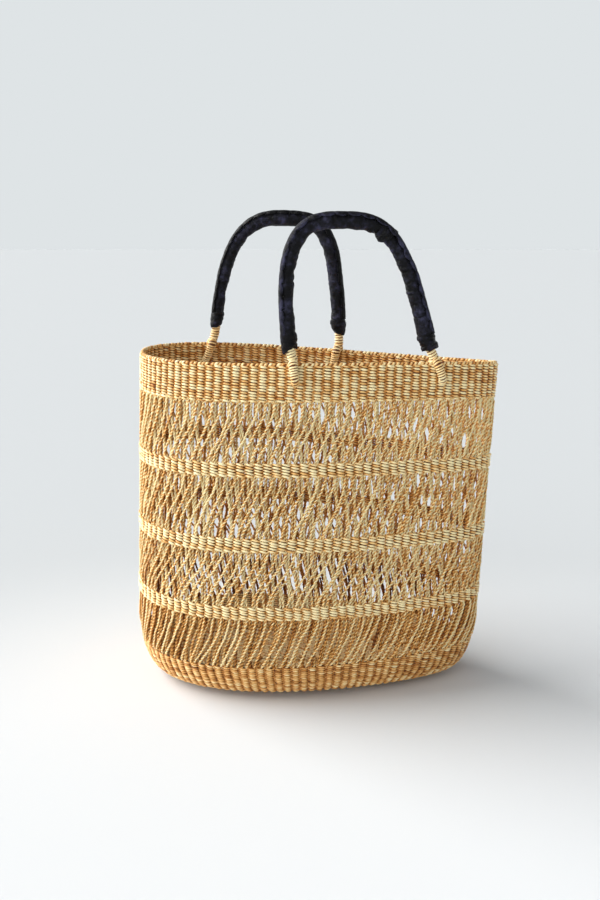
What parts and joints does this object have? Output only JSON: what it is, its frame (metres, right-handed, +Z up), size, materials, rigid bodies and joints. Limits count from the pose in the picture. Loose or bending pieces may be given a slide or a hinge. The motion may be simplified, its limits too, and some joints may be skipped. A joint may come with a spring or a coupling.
{
  "type": "woven market basket",
  "caption": "Tall oval basket of twined straw with open lace bands between solid hoops and two leather-bound arched carrying handles.",
  "frame": {"origin": "centre of the base's underside, where the basket stands", "axes": "+Z up through the mouth, +X along the oval's length towards its pinched right end, -Y towards the front handle"},
  "size_m": [0.3874, 0.2284, 0.5013],
  "materials": {
    "twined_straw": "dry golden grass straw, twined in close rows, satin",
    "lace_straw": "two-ply twisted straw cords in an open lace, satin",
    "bound_straw": "pale straw, braided at the rim and bound round the lashings",
    "pith": "bundled dry grass stems, matte",
    "leather": "supple blue-black leather, wrinkled, soft sheen",
    "lacing": "whip-stitched leather thong"
  },
  "bodies": {
    "basket": {"base_mat": "twined_straw", "heel_band": "twined_straw", "lace_panel_1": "lace_straw", "lace_panel_2": "lace_straw", "lace_panel_3": "lace_straw", "lace_panel_4": "lace_straw", "twined_band_1": "twined_straw", "twined_band_2": "twined_straw", "twined_band_3": "twined_straw", "rim_band": "twined_straw", "rim_braid": "bound_straw", "lashing_front_left": "bound_straw", "lashing_front_right": "bound_straw", "lashing_back_right": "bound_straw", "lashing_back_left": "bound_straw"},
    "front_handle": {"front_handle_core": "pith", "front_handle_leather": "leather", "front_handle_seam": "lacing", "front_cuff_left": "leather", "front_cuff_right": "leather"},
    "back_handle": {"back_handle_core": "pith", "back_handle_leather": "leather", "back_handle_seam": "lacing", "back_cuff_right": "leather", "back_cuff_left": "leather"}
  },
  "joints": [
    {"name": "front_handle_swing", "type": "hinge", "parent": "basket", "child": "front_handle", "pos_m": [0.06274, -0.05372, 0.35947], "axis": [0.9799, 0.1994, -0.0065], "range_deg": [-24, 58]},
    {"name": "back_handle_swing", "type": "hinge", "parent": "basket", "child": "back_handle", "pos_m": [-0.03707, 0.06242, 0.36248], "axis": [-0.9988, -0.0116, 0.0485], "range_deg": [-24, 58]}
  ]
}
